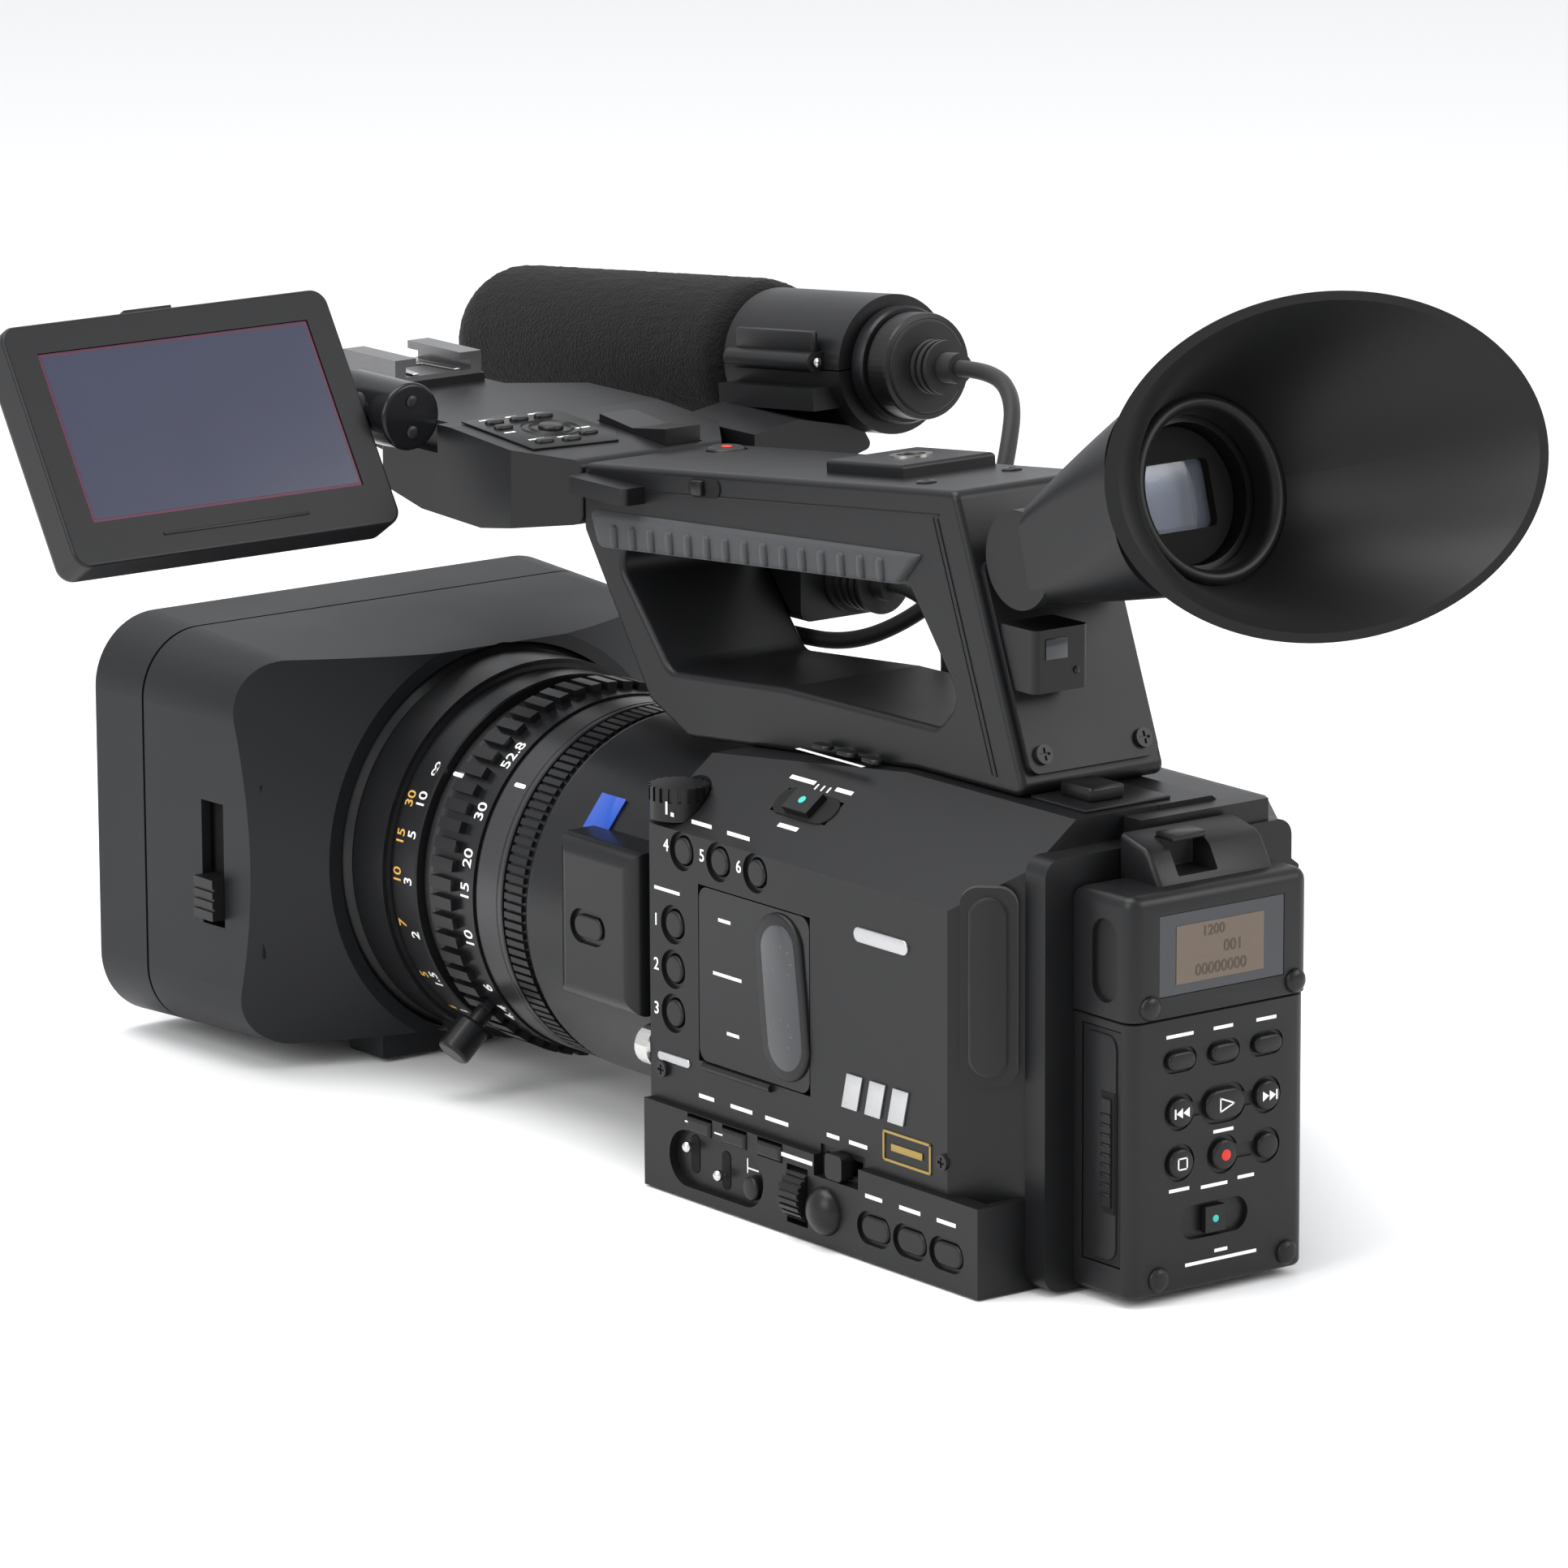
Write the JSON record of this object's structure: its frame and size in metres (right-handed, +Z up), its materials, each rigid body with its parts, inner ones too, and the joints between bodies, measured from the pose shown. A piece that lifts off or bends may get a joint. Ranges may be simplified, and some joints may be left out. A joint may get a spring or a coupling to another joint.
{
  "type": "professional camcorder",
  "caption": "Shoulder-less professional camcorder: ringed zoom lens with hood, top handle, fold-out monitor, tilting viewfinder, shotgun microphone and rear recorder.",
  "frame": {"origin": "mouth of the tripod thread in the bottom plate", "axes": "+X to the operator's right, +Y towards the subject along the lens, +Z up"},
  "size_m": [0.2312, 0.407, 0.2188],
  "materials": {
    "satin_plastic": "moulded charcoal plastic, fine texture",
    "gloss_panel": "semi-gloss black plastic",
    "hood_plastic": "matte hood plastic",
    "recorder_plastic": "grained recorder plastic",
    "rubber_black": "black rubber",
    "rubber_grey": "grey grip rubber",
    "foam": "open-cell foam",
    "webbing": "padded webbing",
    "lens_metal": "satin black reinforced resin with a metallic sheen",
    "steel": "bright steel",
    "dark_metal": "blackened metal",
    "lens_glass": "coated glass",
    "screen_glass": "dark screen glass",
    "display_glass": "monochrome display",
    "board_green": "printed circuit board",
    "key_black": "key plastic",
    "red_key": "red key"
  },
  "bodies": {
    "body": {"bottom_plate": "dark_metal", "left_cover": "satin_plastic", "right_cover": "satin_plastic", "lens_barrel": "lens_metal", "front_lens": "lens_glass", "sensor_block": "dark_metal", "main_board": "board_green", "lens_hood": "hood_plastic", "handle": "satin_plastic", "handle_grip_pad": "rubber_grey", "rear_post_cover": "satin_plastic", "front_unit": "satin_plastic", "accessory_shoe": "steel", "mic_body": "dark_metal", "mic_windscreen": "foam", "mic_holder": "satin_plastic", "mic_plug": "rubber_black", "input_box": "satin_plastic", "cable_plug": "rubber_black", "mic_cable": "rubber_black", "hand_grip": "satin_plastic", "rear_cradle": "satin_plastic", "recorder_case": "recorder_plastic", "recorder_display": "display_glass", "recorder_keys": "key_black", "base_keys": "key_black", "screws": "dark_metal"},
    "focus_ring": {"focus_ring": "lens_metal"},
    "zoom_ring": {"zoom_ring": "lens_metal"},
    "iris_ring": {"iris_ring": "lens_metal"},
    "shutter_lever": {"shutter_lever": "key_black"},
    "shutter_blade_upper": {"shutter_blade_upper": "hood_plastic"},
    "shutter_blade_lower": {"shutter_blade_lower": "hood_plastic"},
    "lcd_hinge": {"lcd_hinge": "gloss_panel"},
    "lcd_case": {"lcd_case": "satin_plastic", "lcd_screen": "screen_glass"},
    "viewfinder_tube": {"viewfinder_tube": "satin_plastic", "eyepiece_lens": "lens_glass", "eyecup": "rubber_black"},
    "mic_clamp": {"mic_clamp": "satin_plastic"},
    "assign_button_1": {"assign_button_1": "key_black"},
    "assign_button_2": {"assign_button_2": "key_black"},
    "assign_button_3": {"assign_button_3": "key_black"},
    "assign_button_4": {"assign_button_4": "key_black"},
    "assign_button_5": {"assign_button_5": "key_black"},
    "assign_button_6": {"assign_button_6": "key_black"},
    "handle_rec_button": {"handle_rec_button": "red_key"},
    "rec_trigger": {"rec_trigger": "key_black"},
    "handle_zoom_rocker": {"handle_zoom_rocker": "key_black"},
    "grip_zoom_rocker": {"grip_zoom_rocker": "key_black"},
    "nd_wheel": {"nd_wheel": "key_black"},
    "menu_dial": {"menu_dial": "key_black"},
    "power_switch": {"power_switch": "key_black"},
    "auto_switch": {"auto_switch": "key_black"},
    "recorder_power_switch": {"recorder_power_switch": "key_black"},
    "audio_cover": {"audio_cover": "gloss_panel"},
    "card_door": {"card_door": "recorder_plastic"},
    "terminal_cover": {"terminal_cover": "rubber_black"},
    "tape_door": {"tape_door": "satin_plastic", "grip_strap": "webbing"}
  },
  "joints": [
    {"name": "focus_turn", "type": "hinge", "parent": "body", "child": "focus_ring", "pos_m": [0, 0.08, 0.051], "axis": [0, 1, 0], "range_deg": [-5, 86]},
    {"name": "zoom_turn", "type": "hinge", "parent": "body", "child": "zoom_ring", "pos_m": [0, 0.08, 0.051], "axis": [0, 1, 0], "range_deg": [-9, 82]},
    {"name": "iris_turn", "type": "hinge", "parent": "body", "child": "iris_ring", "pos_m": [0, 0.08, 0.051], "axis": [0, 1, 0], "continuous": true},
    {"name": "shutter_slide", "type": "slide", "parent": "body", "child": "shutter_lever", "axis": [0, 0, 1], "range_m": [0, 0.012]},
    {"name": "shutter_upper_turn", "type": "hinge", "parent": "body", "child": "shutter_blade_upper", "pos_m": [0, 0.1441, 0.0776], "axis": [-1, 0, 0], "range_deg": [0, 85]},
    {"name": "shutter_lower_turn", "type": "hinge", "parent": "body", "child": "shutter_blade_lower", "pos_m": [0, 0.1441, 0.0244], "axis": [1, 0, 0], "range_deg": [0, 85]},
    {"name": "monitor_swing", "type": "hinge", "parent": "body", "child": "lcd_hinge", "pos_m": [-0.036, 0.1175, 0.1595], "axis": [0, 1, 0], "range_deg": [0, 100]},
    {"name": "monitor_tilt", "type": "hinge", "parent": "lcd_hinge", "child": "lcd_case", "pos_m": [-0.046, 0.1175, 0.1595], "axis": [-1, 0, 0], "range_deg": [-120, 58]},
    {"name": "finder_tilt", "type": "hinge", "parent": "body", "child": "viewfinder_tube", "pos_m": [0, -0.0975, 0.155], "axis": [-1, 0, 0], "range_deg": [-8, 50]},
    {"name": "mic_clamp_open", "type": "hinge", "parent": "body", "child": "mic_clamp", "pos_m": [0.0493, 0.07931, 0.1673], "axis": [0, 0.9954, -0.0958], "range_deg": [-100, 0]},
    {"name": "assign_press_1", "type": "slide", "parent": "body", "child": "assign_button_1", "axis": [1, 0, 0], "range_m": [0, 0.0008], "stiffness_N_per_m": 300},
    {"name": "assign_press_2", "type": "slide", "parent": "body", "child": "assign_button_2", "axis": [1, 0, 0], "range_m": [0, 0.0008], "stiffness_N_per_m": 300},
    {"name": "assign_press_3", "type": "slide", "parent": "body", "child": "assign_button_3", "axis": [1, 0, 0], "range_m": [0, 0.0008], "stiffness_N_per_m": 300},
    {"name": "assign_press_4", "type": "slide", "parent": "body", "child": "assign_button_4", "axis": [1, 0, 0], "range_m": [0, 0.0008], "stiffness_N_per_m": 300},
    {"name": "assign_press_5", "type": "slide", "parent": "body", "child": "assign_button_5", "axis": [1, 0, 0], "range_m": [0, 0.0008], "stiffness_N_per_m": 300},
    {"name": "assign_press_6", "type": "slide", "parent": "body", "child": "assign_button_6", "axis": [1, 0, 0], "range_m": [0, 0.0008], "stiffness_N_per_m": 300},
    {"name": "handle_rec_press", "type": "slide", "parent": "body", "child": "handle_rec_button", "axis": [0, 0, -1], "range_m": [0, 0.001], "stiffness_N_per_m": 300},
    {"name": "rec_trigger_press", "type": "slide", "parent": "body", "child": "rec_trigger", "axis": [-0.8301, 0.5576, 0], "range_m": [0, 0.0015], "stiffness_N_per_m": 300},
    {"name": "handle_zoom_rock", "type": "hinge", "parent": "body", "child": "handle_zoom_rocker", "pos_m": [0.011, 0.076, 0.1527], "axis": [1, 0, 0], "range_deg": [-5, 5], "stiffness_Nm_per_rad": 0.05},
    {"name": "grip_zoom_rock", "type": "hinge", "parent": "body", "child": "grip_zoom_rocker", "pos_m": [0.062, -0.01, 0.0824], "axis": [1, 0, 0], "range_deg": [-5, 5], "stiffness_Nm_per_rad": 0.05},
    {"name": "filter_turn", "type": "hinge", "parent": "body", "child": "nd_wheel", "pos_m": [-0.0425, -0.007, 0.088], "axis": [0, 0, 1], "range_deg": [-60, 60]},
    {"name": "menu_turn", "type": "hinge", "parent": "body", "child": "menu_dial", "pos_m": [-0.0466, -0.06, 0.01], "axis": [0, 1, 0], "continuous": true},
    {"name": "power_slide", "type": "slide", "parent": "body", "child": "power_switch", "axis": [0, 1, 0], "range_m": [-0.003, 0.003]},
    {"name": "auto_slide", "type": "slide", "parent": "body", "child": "auto_switch", "axis": [0, 1, 0], "range_m": [-0.002, 0.004]},
    {"name": "recorder_power_slide", "type": "slide", "parent": "body", "child": "recorder_power_switch", "axis": [1, 0, 0], "range_m": [-0.004, 0.004]},
    {"name": "audio_cover_open", "type": "hinge", "parent": "body", "child": "audio_cover", "pos_m": [-0.0476, -0.041, 0.0334], "axis": [0, 1, 0], "range_deg": [-100, 0]},
    {"name": "card_door_open", "type": "hinge", "parent": "body", "child": "card_door", "pos_m": [-0.0288, -0.1342, 0.035], "axis": [0, 0, -1], "range_deg": [0, 100]},
    {"name": "terminal_cover_open", "type": "hinge", "parent": "body", "child": "terminal_cover", "pos_m": [-0.038, -0.1227, 0.068], "axis": [0, 0, 1], "range_deg": [0, 90]},
    {"name": "tape_door_open", "type": "hinge", "parent": "body", "child": "tape_door", "pos_m": [0.081, -0.027, 0.016], "axis": [0, 1, 0], "range_deg": [0, 30]}
  ],
  "couplings": [
    {"joint": "shutter_upper_turn", "follows": "shutter_slide", "rad_per_m": 123.63},
    {"joint": "shutter_lower_turn", "follows": "shutter_slide", "rad_per_m": 123.63}
  ]
}
